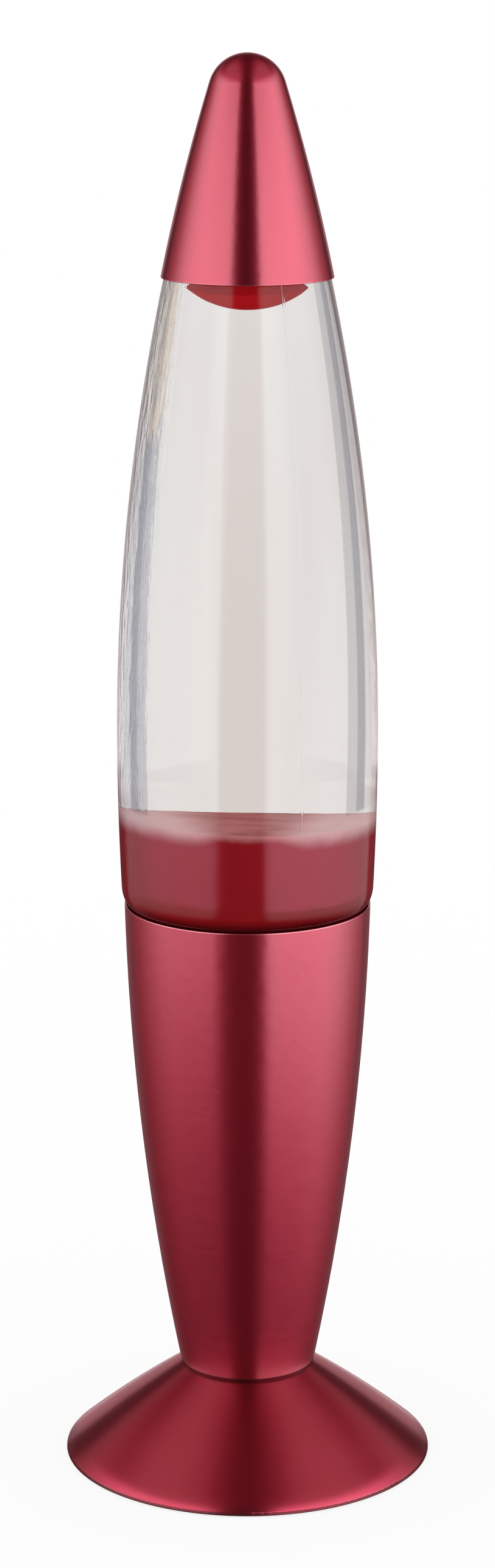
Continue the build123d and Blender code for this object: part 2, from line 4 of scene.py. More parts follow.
import bmesh
import bpy
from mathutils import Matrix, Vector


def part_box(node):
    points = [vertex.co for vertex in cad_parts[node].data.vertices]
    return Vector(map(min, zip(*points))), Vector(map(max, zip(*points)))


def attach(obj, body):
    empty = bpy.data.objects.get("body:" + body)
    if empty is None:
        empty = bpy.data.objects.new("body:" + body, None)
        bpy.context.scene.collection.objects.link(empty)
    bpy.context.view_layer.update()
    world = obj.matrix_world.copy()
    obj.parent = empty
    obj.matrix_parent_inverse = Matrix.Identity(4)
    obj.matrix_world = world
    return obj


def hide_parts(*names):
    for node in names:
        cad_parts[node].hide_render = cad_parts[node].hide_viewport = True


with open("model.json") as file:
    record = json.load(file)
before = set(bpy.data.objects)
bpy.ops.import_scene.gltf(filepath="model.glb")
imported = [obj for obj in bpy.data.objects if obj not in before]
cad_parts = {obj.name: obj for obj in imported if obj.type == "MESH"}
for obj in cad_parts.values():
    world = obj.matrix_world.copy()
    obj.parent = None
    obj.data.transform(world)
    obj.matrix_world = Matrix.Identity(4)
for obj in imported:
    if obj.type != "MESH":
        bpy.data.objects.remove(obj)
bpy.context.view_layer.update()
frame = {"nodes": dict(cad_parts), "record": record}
nodes = frame["nodes"]
white = (1.0, 1.0, 1.0, 1.0)
black = (0.0, 0.0, 0.0, 1.0)
print("frame loaded:", len(nodes), "nodes")


# Node helpers: a value may be a number, a tuple or another node's socket

def addNode(tree, kind, values=(), **settings):
    node = tree.nodes.new(kind)
    for name, value in settings.items():
        setattr(node, name, value)
    for socket, value in dict(values).items():
        if isinstance(value, bpy.types.NodeSocket):
            tree.links.new(value, node.inputs[socket])
        else:
            node.inputs[socket].default_value = value
    return node


def calc(tree, operation, *values):
    return addNode(tree, "ShaderNodeMath", dict(enumerate(values)), operation=operation).outputs[0]


def product(tree, first, *others):
    for other in others:
        first = calc(tree, "MULTIPLY", first, other)
    return first


def vectorCalc(tree, operation, *values):
    return addNode(tree, "ShaderNodeVectorMath", dict(enumerate(values)), operation=operation).outputs


def scaled(tree, colour, factor):
    return addNode(tree, "ShaderNodeVectorMath", {0: colour, 3: factor}, operation="SCALE").outputs[0]


def split(tree, vector):
    return addNode(tree, "ShaderNodeSeparateXYZ", {0: vector}).outputs


def combine(tree, *parts):
    return addNode(tree, "ShaderNodeCombineXYZ", dict(enumerate(parts))).outputs[0]


def rise(tree, value, low, high, toLow=0.0, toHigh=1.0):
    values = {"Value": value, "From Min": low, "From Max": high, "To Min": toLow, "To Max": toHigh}
    node = addNode(tree, "ShaderNodeMapRange", values, interpolation_type="SMOOTHSTEP")
    return node.outputs["Result"]


def choose(tree, flag, without, within):
    return rise(tree, flag, 0.0, 1.0, without, within)


def mixColours(tree, factor, first, second):
    node = addNode(tree, "ShaderNodeMix", {0: factor, 6: first, 7: second}, data_type="RGBA")
    return node.outputs[2]


def ramp(tree, value, stops):
    node = addNode(tree, "ShaderNodeValToRGB", {"Fac": value})
    elements = node.color_ramp.elements
    elements.remove(elements[1])
    elements[0].position, elements[0].color = stops[0]
    for place, colour in stops[1:]:
        elements.new(place).color = colour
    return node.outputs["Color"]


def addNoise(tree, place, scale, detail, roughness):
    values = {"Vector": place, "Scale": scale, "Detail": detail, "Roughness": roughness}
    return addNode(tree, "ShaderNodeTexNoise", values).outputs["Fac"]


def addBump(tree, height, distance, normal=None, strength=1.0):
    values = {"Height": height, "Distance": distance, "Strength": strength}
    if normal is not None:
        values["Normal"] = normal
    return addNode(tree, "ShaderNodeBump", values).outputs["Normal"]


def addSurface(tree, values):
    return addNode(tree, "ShaderNodeBsdfPrincipled", values).outputs[0]


def mixShaders(tree, share, first, second):
    return addNode(tree, "ShaderNodeMixShader", {0: share, 1: first, 2: second}).outputs[0]


def emptyMaterial(name):
    material = bpy.data.materials.new(name)
    material.use_nodes = True
    material.node_tree.nodes.clear()
    return material, material.node_tree


def placedMaterial(name):
    material, tree = emptyMaterial(name)
    place = addNode(tree, "ShaderNodeTexCoord").outputs["Object"]
    return material, tree, place


def finishMaterial(material, shader, volume=None):
    output = addNode(material.node_tree, "ShaderNodeOutputMaterial", {"Surface": shader})
    if volume:
        material.node_tree.links.new(volume, output.inputs["Volume"])
    return material


# Camera
cameraView = {
    "place": (0.0, -1.1304, 0.4737),
    "pitch": 76.764,  # degrees from straight down
    "lens": 90.5,
    "sensor": 36.0,
}
camera = bpy.data.objects.new("camera", bpy.data.cameras.new("camera"))
bpy.context.scene.collection.objects.link(camera)
camera.location = cameraView["place"]
camera.rotation_euler = (math.radians(cameraView["pitch"]), 0, 0)
camera.data.sensor_fit = "VERTICAL"
camera.data.sensor_height = cameraView["sensor"]
camera.data.lens = cameraView["lens"]
bpy.context.scene.camera = camera
bpy.context.scene.view_settings.view_transform = "Standard"


# Studio: two tall softboxes at the sides with a dark gap in front, a white backdrop behind and a
# ceiling. Most values say between which parts of a direction something begins and is full, and then,
# if it isn't 0 to 1, what it goes from and to
studio = {
    "gapLeft": ((0.25, 0.41), (0.31, 0.55)),  # sideways part of a direction where the box begins: high, low
    "gapRight": ((0.19, 0.35), (0.14, 0.38)),
    "gapBlend": (-0.35, 0.15),
    "boxLevel": (1.98, 2.15),  # left and right
    "boxUpper": (-0.20, 0.20, 1.0, 0.90),
    "boxLowLeft": (-0.68, 0.06),
    "boxLowRight": (-0.72, -0.08),
    "glassLow": 0.15,  # how much lower the boxes reach in glass
    "boxHigh": (0.32, 0.80),
    "boxRear": (-0.30, 1.05),
    "boxRearLevel": (0.10, 0.45),  # for brushed metal and for glass
    "shiftRise": (-0.20, 0.0),  # the boxes fade sooner in what slopes upwards
    "shiftFall": (0.20, 0.45),
    "shift": 0.12,
    "boxEnd": (0.70, 0.80, 1.0, 0.3),
    "backdrop": (0.93, 0.97),
    "backdropLow": (-0.75, -0.45),
    "backdropHigh": (-0.24, -0.12, 0.80, 0.46),
    "backdropWider": (-0.20, 0.05, 0.0, 0.05),
    "ceilingGap": (0.02, 0.45, 0.22, 1.0),
    "ceilingRear": (0.05, 0.85, 0.62, 0.124),
    "darkLow": (-0.70, -0.38),
    "darkHigh": (-0.25, 0.12),
    "darkLevel": (0.12, 0.21, 0.09),  # below, level and above
    "dimColour": (1.0, 0.20, 0.27, 1.0),
    "dimRange": (0.15, 1.30),
    "dimRear": (0.50, 0.92),
    "dimRearColour": (1.0, 0.42, 0.48, 1.0),
    "rimLight": (0.68, 0.80),
    "rimColour": (0.73, 0.63, 0.64, 1.0),
    "rimLow": (-0.231, -0.222),
    "mirrorShare": 0.43,  # how much of the studio a sharp mirror shows
    "slitLeft": (-0.082, -0.058),  # a shade behind the lamp, seen through the bottle
    "slitRight": (0.098, 0.116, 1.0, 0.0),
    "slitColour": (0.927, 0.902, 0.888, 1.0),
}


def softboxes(tree, values, across, forwards, upwards, inMirror):
    sideways = calc(tree, "ABSOLUTE", across)
    onRight = calc(tree, "GREATER_THAN", across, 0.0)

    def gapEdge(side, place):
        high, low = values[side]
        return rise(tree, upwards, *values["gapBlend"], low[place], high[place])

    gapStart, gapEnd = (
        choose(tree, onRight, gapEdge("gapLeft", place), gapEdge("gapRight", place)) for place in (0, 1))
    lowStart, lowEnd = (
        choose(tree, onRight, *pair) for pair in zip(values["boxLowLeft"], values["boxLowRight"]))
    rearLevel = choose(tree, inMirror, *values["boxRearLevel"])
    shift = rise(tree, upwards, *values["shiftRise"], 0.0, values["shift"])
    shift = rise(tree, upwards, *values["shiftFall"], shift, 0.0)
    return product(
        tree,
        choose(tree, onRight, *values["boxLevel"]),
        rise(tree, upwards, *values["boxUpper"]),
        rise(tree, sideways, gapStart, gapEnd),
        rise(tree, calc(tree, "ADD", forwards, shift), *values["boxRear"], 1.0, rearLevel),
        rise(tree, forwards, *values["boxEnd"]),
        rise(tree, calc(tree, "MULTIPLY_ADD", inMirror, values["glassLow"], upwards), lowStart, lowEnd),
        rise(tree, upwards, *values["boxHigh"], 1.0, 0.0),
    )


def surroundings(tree, values, across, forwards, upwards):
    sideways = calc(tree, "ABSOLUTE", across)
    wider = calc(tree, "ADD", forwards, rise(tree, upwards, *values["backdropWider"]))
    backdrop = product(
        tree,
        rise(tree, wider, *values["backdrop"]),
        rise(tree, upwards, *values["backdropLow"]),
        rise(tree, upwards, *values["backdropHigh"]),
    )
    ceiling = product(
        tree,
        rise(tree, forwards, *values["ceilingRear"]),
        rise(tree, sideways, *values["ceilingGap"]),
        rise(tree, upwards, *values["boxHigh"]),
    )
    below, middle, above = values["darkLevel"]
    dark = calc(tree, "MINIMUM", rise(tree, upwards, *values["darkLow"], below, middle),
                rise(tree, upwards, *values["darkHigh"], middle, above))
    return calc(tree, "MAXIMUM", calc(tree, "MAXIMUM", backdrop, ceiling), dark)


def buildStudio(values):
    world = bpy.data.worlds.new("studio")
    bpy.context.scene.world = world
    world.use_nodes = True
    world.cycles.sampling_method = "NONE"
    tree = world.node_tree
    tree.nodes.clear()
    across, forwards, upwards = split(tree, addNode(tree, "ShaderNodeTexCoord").outputs["Generated"])
    rays = addNode(tree, "ShaderNodeLightPath").outputs
    inMirror = rays["Is Singular Ray"]
    level = calc(tree, "MAXIMUM", softboxes(tree, values, across, forwards, upwards, inMirror),
                 surroundings(tree, values, across, forwards, upwards))
    dim = mixColours(tree, rise(tree, forwards, *values["dimRear"]),
                     values["dimColour"], values["dimRearColour"])
    tint = mixColours(tree, rise(tree, level, *values["dimRange"]), dim, white)
    mirrored = scaled(tree, tint, level)

    # Sharp mirrors, such as glass, show all this weaker, with a pale strip beside the backdrop
    onGlass = scaled(tree, mirrored, choose(tree, inMirror, 1.0, values["mirrorShare"]))
    strip = product(tree, rise(tree, forwards, *values["rimLight"]), inMirror,
                    rise(tree, upwards, *values["rimLow"]))
    strip = mixColours(tree, strip, black, values["rimColour"])
    onGlass = vectorCalc(tree, "MAXIMUM", onGlass, strip)[0]

    slit = product(tree, rise(tree, across, *values["slitLeft"]), rise(tree, across, *values["slitRight"]))
    through = mixColours(tree, slit, white, values["slitColour"])
    through = mixColours(tree, calc(tree, "GREATER_THAN", rays["Glossy Depth"], 0.5), through, mirrored)
    colour = mixColours(tree, rays["Is Glossy Ray"], white, onGlass)
    colour = mixColours(tree, rays["Is Transmission Ray"], colour, through)
    colour = mixColours(tree, rays["Is Camera Ray"], colour, white)
    background = addNode(tree, "ShaderNodeBackground", {"Color": colour, "Strength": 1.0})
    addNode(tree, "ShaderNodeOutputWorld", {"Surface": background.outputs[0]})


buildStudio(studio)
print("studio ready")


# Floor: white and wide, and it keeps a soft shadow. Towards its edge it shows plain white
floorSheet = {
    "radius": 3.0,
    "segments": 96,
    "colour": (0.97, 0.97, 0.97, 1.0),
    "white": (0.25, 0.75, 0.80, 1.0),  # from one distance to another, and the white's share at both
}


def buildFloor(values):
    shape = bmesh.new()
    bmesh.ops.create_circle(shape, cap_ends=True, segments=values["segments"], radius=values["radius"])
    mesh = bpy.data.meshes.new("floor")
    shape.to_mesh(mesh)
    shape.free()
    floor = bpy.data.objects.new("floor", mesh)
    bpy.context.scene.collection.objects.link(floor)
    material, tree, place = placedMaterial("paleFloor")
    distance = vectorCalc(tree, "LENGTH", place)["Value"]
    paper = addNode(tree, "ShaderNodeBsdfDiffuse", {"Color": values["colour"]}).outputs[0]
    glow = addNode(tree, "ShaderNodeEmission", {"Color": white, "Strength": 1.0}).outputs[0]
    seen = addNode(tree, "ShaderNodeLightPath").outputs["Is Camera Ray"]
    share = product(tree, rise(tree, distance, *values["white"]), seen)
    mesh.materials.append(finishMaterial(material, mixShaders(tree, share, paper, glow)))
    floor.visible_glossy = False
    floor.visible_transmission = False


buildFloor(floorSheet)
print("floor ready")


# Red anodised aluminium under a satin lacquer, brushed round the lamp's axis
redMetal = {
    "colour": (0.50, 0.052, 0.094, 1.0),
    "roughness": (0.276, 0.324),
    "anisotropy": 0.65,
    "coat": 1.0,
    "coatRoughness": 0.15,
    "coatIor": 1.6,
    "brushTurn": 0.25,  # the brush marks run across the axis
    "lines": (1500.0, 5200.0),  # brush marks per metre, broad and fine
    "round": (1.1, 5.0),
    "markNoise": (1.0, 3.0, 0.6),  # scale, detail and roughness, as in every noise below
    "markShares": (0.4, 0.6),
    "markRange": (0.3, 0.7),
    "bump": 0.0000012,
    "mottle": (55.0, 5.0, 0.6),
    "shade": (0.92, 0.06, 0.10),  # least, and what the marks and the mottle add
    "wearAndHighlightColour": (0.80, 0.30, 0.36, 1.0),
    "wearAndHighlightPatches": (0.25, 0.6, 0.55, 1.0),
    "wearAndHighlightCore": 0.4,  # of the rim band's width
    "speckScale": 260.0,
    "speckShare": 0.985,
    "speckSize": (0.02, 0.05),
    "paintedShadeColour": (0.022, 0.001, 0.002, 1.0),
    "paintedShadeRoughness": 0.6,
    "paintedShadeGloss": 0.2,
    "creaseCore": 0.35,  # of its reach
    "creaseShare": 0.92,
    "underCore": 0.8,  # of the rim's height
    "underShare": 0.72,
    "rimCurve": 0.000034,
}


def brushMarks(tree, values, ring, height, lines, around):
    grooves = combine(tree, calc(tree, "MULTIPLY", ring["X"], around),
                      calc(tree, "MULTIPLY", ring["Y"], around), calc(tree, "MULTIPLY", height, lines))
    return addNoise(tree, grooves, *values["markNoise"])


def addPaintedShade(tree, values, share, shader):
    paintedShade = addSurface(tree, {
        "Base Color": values["paintedShadeColour"], "Roughness": values["paintedShadeRoughness"],
        "Specular IOR Level": values["paintedShadeGloss"]})
    return mixShaders(tree, share, shader, paintedShade)


def distanceFrom(tree, value, level):
    return calc(tree, "ABSOLUTE", calc(tree, "SUBTRACT", value, level))


def brushedMetal(name, values, wearAndHighlightRims=(), crease=None, rim=None):
    material, tree, place = placedMaterial(name)
    across, along, height = split(tree, place)
    flat = combine(tree, across, along)
    radius = vectorCalc(tree, "LENGTH", flat)["Value"]
    ring = split(tree, vectorCalc(tree, "NORMALIZE", flat)[0])
    broad, fine = (brushMarks(tree, values, ring, height, lines, around)
                   for lines, around in zip(values["lines"], values["round"]))
    broadShare, fineShare = values["markShares"]
    marks = calc(tree, "MULTIPLY_ADD", fine, fineShare, calc(tree, "MULTIPLY", broad, broadShare))

    mottle = addNoise(tree, place, *values["mottle"])
    least, fromMarks, fromMottle = values["shade"]
    shade = calc(tree, "MULTIPLY_ADD", mottle, fromMottle,
                 calc(tree, "MULTIPLY_ADD", marks, fromMarks, least))
    # The rims get a lighter band, partly wear and partly a painted highlight; the specks are small pale
    # marks
    wearAndHighlight = 0.0
    for edge, width in wearAndHighlightRims:
        away = distanceFrom(tree, height, edge)
        rimWearAndHighlight = rise(tree, away, values["wearAndHighlightCore"] * width, width, 1.0, 0.0)
        wearAndHighlight = calc(tree, "MAXIMUM", wearAndHighlight, rimWearAndHighlight)
    cells = addNode(tree, "ShaderNodeTexVoronoi", {"Vector": place, "Scale": values["speckScale"]}).outputs
    lucky = addNode(tree, "ShaderNodeSeparateColor", {0: cells["Color"]}).outputs[0]
    lucky = calc(tree, "GREATER_THAN", lucky, values["speckShare"])
    speck = product(tree, lucky, rise(tree, cells["Distance"], *values["speckSize"], 1.0, 0.0))
    wearAndHighlight = product(tree, calc(tree, "MAXIMUM", wearAndHighlight, speck), rise(tree, mottle, *values["wearAndHighlightPatches"]))
    colour = mixColours(tree, wearAndHighlight, scaled(tree, values["colour"][:3], shade), values["wearAndHighlightColour"])

    normal = None
    if rim:
        # The foot's edge curls down beyond this radius
        beyond = calc(tree, "MAXIMUM", calc(tree, "SUBTRACT", radius, rim[0]), 0.0)
        drop = calc(tree, "DIVIDE", calc(tree, "POWER", beyond, 3.0), -3 * values["rimCurve"])
        normal = addBump(tree, drop, 1.0)
    shader = addSurface(tree, {
        "Base Color": colour, "Metallic": 1.0,
        "Roughness": rise(tree, marks, *values["markRange"], *values["roughness"]),
        "Anisotropic": values["anisotropy"], "Anisotropic Rotation": values["brushTurn"],
        "Coat Weight": values["coat"], "Coat Roughness": values["coatRoughness"],
        "Coat IOR": values["coatIor"], "Normal": addBump(tree, marks, values["bump"], normal),
        "Tangent": addNode(tree, "ShaderNodeTangent", direction_type="RADIAL", axis="Z").outputs[0]})
    # Painted shade: the metal goes dark where the sleeve meets the foot
    if crease:
        creaseRadius, creaseHeight, reach = crease
        away = calc(tree, "SQRT", calc(
            tree, "ADD", calc(tree, "POWER", calc(tree, "SUBTRACT", radius, creaseRadius), 2.0),
            calc(tree, "POWER", calc(tree, "SUBTRACT", height, creaseHeight), 2.0)))
        creaseShade = rise(tree, away, values["creaseCore"] * reach, reach, values["creaseShare"], 0.0)
        shader = addPaintedShade(tree, values, creaseShade, shader)
    # Painted shade: the foot goes dark towards its lower edge, where it curls down
    if rim:
        under = rise(tree, height, rim[1] * values["underCore"], rim[1], values["underShare"], 0.0)
        shader = addPaintedShade(tree, values, under, shader)
    return finishMaterial(material, shader)


# Outline helpers: a wire in the plane y = 0, which a full turn about the axis makes a piece
mergeDistance = 0.000002
nearEnough = 0.00001


def lineTo(shape, last, radius, height):
    new = shape.verts.new((radius, 0, height))
    if last:
        shape.edges.new((last, new))
    return new


def arcTo(shape, last, centre, degrees, steps):
    turned = bmesh.ops.spin(shape, geom=[last], cent=(centre[0], 0, centre[1]), axis=(0, -1, 0),
                            angle=math.radians(degrees), steps=steps)
    return turned["geom_last"][0]


def turnRound(shape, segments):
    bmesh.ops.spin(shape, geom=shape.verts[:] + shape.edges[:], cent=(0, 0, 0), axis=(0, 0, 1),
                   angle=math.tau, steps=segments, use_merge=True)
    bmesh.ops.remove_doubles(shape, verts=shape.verts[:], dist=mergeDistance)
    bmesh.ops.recalc_face_normals(shape, faces=shape.faces[:])


def roundRing(shape, radius, height, offset, segments=5):
    def onRing(vertex):
        away = max(abs(math.hypot(*vertex.co.xy) - radius), abs(vertex.co.z - height))
        return away < nearEnough
    ring = [edge for edge in shape.edges if onRing(edge.verts[0]) and onRing(edge.verts[1])]
    bmesh.ops.bevel(shape, geom=ring, affect="EDGES", offset=offset, segments=segments,
                    profile=0.5, material=-1)


def finishPiece(shape, name, materials, body, replaced, crease=35.0):
    mesh = bpy.data.meshes.new(name)
    shape.to_mesh(mesh)
    shape.free()
    for material in materials:
        mesh.materials.append(material)
    mesh.shade_smooth()
    mesh.set_sharp_from_angle(angle=math.radians(crease))
    piece = bpy.data.objects.new(name, mesh)
    bpy.context.scene.collection.objects.link(piece)
    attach(piece, body)
    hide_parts(*replaced)


# Clear things: bottle glass and liquid
clearThings = {
    "glassIor": 1.52,
    "liquidIor": 1.35,
    "insideTint": (0.12, 0.12, 0.12, 1.0),  # where liquid wets the glass, the wall hardly mirrors
    "liquidColour": (0.861, 0.829, 0.805, 1.0),
    "liquidDensity": 22.0,
    "seamTurn": 24.7,  # degrees from the front to the mould's seam
    "seamWidth": 0.35,
    "seamHeight": 0.00004,
    "rippleTurn": (-43.0, -54.0, -105.0, -125.0),
    "rippleAround": 0.34,  # ripples per degree
    "rippleUp": 90.0,  # and per metre of height
    "rippleNoise": (1.0, 2.5, 0.55),
    "rippleHeight": 0.00010,
    "rippleFacing": (0.20, 0.40),  # the colours show only aslant
    "rippleWarm": (1.95, 1.64, 1.20, 1.0),
    "rippleCold": (0.86, 0.93, 1.04, 1.0),
    "ripplePatches": (0.42, 0.62),
    "rippleWarmth": (0.60, 0.82, -0.9, 0.5),  # warm high up and cold below, as shares of the clear height
    "shadeBandStart": (0.0035, 0.0055),  # the painted edge bands begin this far above the wax
    "edgeShadeBands": (  # painted bands of shade, and one faint band of light, for the studio seen through the wall aslant, by facing
        (0.055, (1.0, 1.0, 1.0, 1)), (0.080, (0.95, 0.95, 0.955, 1)), (0.355, (0.94, 0.94, 0.95, 1)),
        (0.368, (1.0, 0.97, 0.92, 1)), (0.380, (0.54, 0.53, 0.54, 1)), (0.465, (0.52, 0.52, 0.54, 1)),
        (0.485, (0.26, 0.255, 0.295, 1)), (0.570, (0.25, 0.245, 0.285, 1)), (0.590, (0.74, 0.74, 0.74, 1)),
        (0.70, (0.82, 0.80, 0.79, 1)), (0.84, (0.90, 0.83, 0.83, 1)), (0.93, (0.70, 0.50, 0.52, 1)),
    ),
}


def bottleGlass(name, values, insideTint=white):
    material, tree, place = placedMaterial(name)
    across, along, height = split(tree, place)
    turn = calc(tree, "ARCTAN2", across, calc(tree, "MULTIPLY", along, -1.0))
    turn = calc(tree, "MULTIPLY", turn, 180 / math.pi)
    fromSeam = calc(tree, "PINGPONG", calc(tree, "SUBTRACT", turn, values["seamTurn"]), 90.0)
    bump = addBump(tree, rise(tree, fromSeam, 0.0, values["seamWidth"], 1.0, 0.0), values["seamHeight"])

    # The blown wall is rippled on the left. Seen aslant it gets painted light there: warm and brightened
    # high up, cold below
    start, full, fade, end = values["rippleTurn"]
    rippled = product(tree, rise(tree, turn, start, full), rise(tree, turn, end, fade))
    spots = combine(tree, calc(tree, "MULTIPLY", turn, values["rippleAround"]),
                    calc(tree, "MULTIPLY", height, values["rippleUp"]))
    noise = addNoise(tree, spots, *values["rippleNoise"])
    bump = addBump(tree, product(tree, noise, rippled), values["rippleHeight"], bump)
    facing = addNode(tree, "ShaderNodeLayerWeight", {"Blend": 0.5, "Normal": bump}).outputs["Facing"]
    lowShare, highShare, cold, warm = values["rippleWarmth"]
    clearHeight = shoulderZ - waxZ
    warmth = rise(tree, height, waxZ + lowShare * clearHeight, waxZ + highShare * clearHeight, cold, warm)
    patches = calc(tree, "ADD", rise(tree, noise, *values["ripplePatches"]), warmth)
    paintedPlay = mixColours(tree, rise(tree, patches, 0.0, 1.0), values["rippleCold"], values["rippleWarm"])
    aslant = product(tree, rippled, rise(tree, facing, *values["rippleFacing"]))
    colour = mixColours(tree, aslant, white, paintedPlay)

    # Painted shade bands by facing, from a little above the wax upwards
    aboveWax = rise(tree, height, *(waxZ + above for above in values["shadeBandStart"]))
    shadeBands = mixColours(tree, aboveWax, white, ramp(tree, facing, values["edgeShadeBands"]))
    shader = addSurface(tree, {
        "Base Color": vectorCalc(tree, "MULTIPLY", colour, shadeBands)[0], "Roughness": 0.0,
        "IOR": values["glassIor"], "Specular Tint": insideTint, "Transmission Weight": 1.0,
        "Normal": bump})
    return finishMaterial(material, shader)


def tintedLiquid(name, values):
    material, tree = emptyMaterial(name)
    shader = addSurface(tree, {
        "Base Color": white, "Roughness": 0.0, "IOR": values["liquidIor"],
        "Specular Tint": values["insideTint"], "Transmission Weight": 1.0})
    tint = addNode(tree, "ShaderNodeVolumeAbsorption", {
        "Color": values["liquidColour"], "Density": values["liquidDensity"]}).outputs[0]
    return finishMaterial(material, shader, volume=tint)


# Wax: the mass at the bottom has a cloudy, uneven top with a painted glow and sides painted paler as a
# reflection, and the float under the cap is clear red with a painted glow
redWax = {
    "colour": (0.45, 0.012, 0.016, 1.0),
    "shade": (0.85, 0.30),  # least, and what the cloud adds
    "cloud": (90.0, 4.0, 0.55),
    "bloom": (0.74, 0.30, 0.29, 1.0),
    # Towards the sides and back the top is paler: the milky top, with a painted reflection added
    "bloomAndReflectionEdge": (0.86, 0.58, 0.57, 1.0),
    "bloomRadius": (0.004, 0.019),
    "bloomDepth": (-0.0026, -0.0052, 0.0002),  # below its top, in the middle and at the sides, and above
    "bloomRagged": 0.0024,
    "roughness": 0.55,
    "bump": (0.0002, 0.5),
    "sheen": 0.0,
    "sheenRoughness": 0.15,
    "glow": (0.37, 0.54),  # painted glow, an emission at its cloudy top, in the middle and at the sides
    "wallGlow": (0.2, 0.8, 0.28, 1.0),  # upward part of the normal: at the wall there is less of it
    "gloss": (1.0, 0.17, 0.35, 1.0),
    "glossShare": 0.075,
    "glossRoughness": 0.16,
    "level": -0.0002,  # middle of the top, from the level in the frame
    "slope": (-0.029, -0.042),  # sideways and front to back
    "rearBloom": 0.60,
    "rearDrop": (0.50, 0.60, 0.40, 0.008),  # how the top sinks behind a curved line, in belly radii
}
# The float glows with painted light too
floatWax = {**redWax, "colour": (0.88, 0.014, 0.022, 1.0), "sheen": 0.8, "glow": (0.19, 0.19)}


def waxTop(x, y):
    start, bend, width, drop = redWax["rearDrop"]
    share = (y / bellyRadius - start + bend * (x / bellyRadius) ** 2) / width
    share = min(1.0, max(0.0, share))
    level = waxZ + redWax["level"] + redWax["slope"][0] * x + redWax["slope"][1] * y
    return level - drop * share * share * (3 - 2 * share)


def addBloom(tree, values, place, cloud, colour):
    # The colour and the painted glow of the cloudy top, which follows the same shape as waxTop. Its sides
    # are painted paler, as a reflection
    parts = split(tree, place)
    start, bend, width, drop = values["rearDrop"]
    beyond = calc(tree, "MULTIPLY_ADD", parts["Y"], 1 / bellyRadius, -start)
    bent = calc(tree, "MULTIPLY", parts["X"], parts["X"])
    beyond = calc(tree, "MULTIPLY_ADD", bent, bend / bellyRadius ** 2, beyond)
    sideSlope, frontSlope = values["slope"]
    fromTop = vectorCalc(tree, "DOT_PRODUCT", place, (-sideSlope, -frontSlope, 1.0))["Value"]
    fromTop = calc(tree, "SUBTRACT", fromTop, waxTop(0, 0))
    fromTop = calc(tree, "ADD", fromTop, rise(tree, beyond, 0.0, width, 0.0, drop))
    ragged = calc(tree, "MULTIPLY_ADD", calc(tree, "SUBTRACT", cloud, 0.5), values["bloomRagged"], fromTop)
    # The sides and back, painted paler and with more glow, as a reflection
    side = calc(tree, "MAXIMUM", rise(tree, calc(tree, "ABSOLUTE", parts["X"]), *values["bloomRadius"]),
                rise(tree, beyond, 0.0, width / 2))
    middleDepth, sideDepth, high = values["bloomDepth"]
    low = choose(tree, side, middleDepth, sideDepth)
    milky = product(tree, rise(tree, ragged, low, high),
                    rise(tree, beyond, 0.0, width, 1.0, values["rearBloom"]))
    pale = mixColours(tree, side, values["bloom"], values["bloomAndReflectionEdge"])
    normal = split(tree, addNode(tree, "ShaderNodeTexCoord").outputs["Normal"])
    glow = product(tree, milky, choose(tree, side, *values["glow"]),
                   rise(tree, normal["Z"], *values["wallGlow"]))
    return mixColours(tree, milky, colour, pale), glow


def waxSurface(name, values, clouded):
    material, tree, place = placedMaterial(name)
    cloud = addNoise(tree, place, *values["cloud"])
    least, fromCloud = values["shade"]
    shade = calc(tree, "MULTIPLY_ADD", cloud, fromCloud, least)
    colour = scaled(tree, values["colour"][:3], shade)
    glow = values["glow"][0]
    if clouded:
        colour, glow = addBloom(tree, values, place, cloud, colour)
    depth, strength = values["bump"]
    # Painted light: the wax emits its own colour, though it is no lamp
    shader = addSurface(tree, {
        "Base Color": colour, "Roughness": values["roughness"],
        "Normal": addBump(tree, cloud, depth, strength=strength),
        "Emission Color": colour, "Emission Strength": glow, "Specular IOR Level": 0.0,
        "Sheen Weight": values["sheen"], "Sheen Roughness": values["sheenRoughness"]})
    gloss = addNode(tree, "ShaderNodeBsdfAnisotropic", {
        "Color": values["gloss"], "Roughness": values["glossRoughness"]}).outputs[0]
    return finishMaterial(material, mixShaders(tree, values["glossShare"], shader, gloss))


# Bottle: two large arcs that meet at the belly, a rounded heel, a shallow punt and a lipped neck
bottleShape = {
    "lowerCurve": 0.920,
    "upperCurve": 0.650,
    "heel": 0.010,
    "bellyAboveHeel": 0.0433,
    "shoulderAboveBelly": 0.137,
    "wall": 0.0022,
    "innerHeel": 0.0065,
    "punt": (0.024, 0.0025),
    "neck": 0.0112,
    "bore": 0.0082,
    "neckRoot": 0.012,
    "neckLength": 0.014,
    "lip": (0.0132, 0.004, 0.00095),
    "shoulderRound": 0.0012,
    "neckRound": 0.0017,
    "segments": 240,
    "puntSteps": 12,
    "heelSteps": (18, 14),  # outside and inside
    "lowerSteps": 30,
    "upperSteps": 60,
    "floorNormal": 0.3,  # least upward normal of the floor's inside
    "insideDepth": 0.001,  # what lies deeper than this can be the wall's inside
    "wave": 0.00012,  # unevenness of the inside of the blown wall
    "waves": (  # share, times round, turn per centimetre of height, start
        (0.60, 2, 0.30, 0.5), (0.35, 5, -0.20, 0.0), (0.12, 17, 0.15, 0.0), (0.05, 29, 0.0, 0.0),
    ),
    "leftWave": (0.10, 6, 9.0),
}
bottleLow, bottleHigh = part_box("bottle")
bellyRadius = bottleHigh.x
mouthZ = bottleHigh.z
neckZ = mouthZ - bottleShape["neckLength"]
shoulderZ = neckZ - bottleShape["neckRoot"]
bellyZ = shoulderZ - bottleShape["shoulderAboveBelly"]
floorZ, waxZ = (corner.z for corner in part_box("wax"))
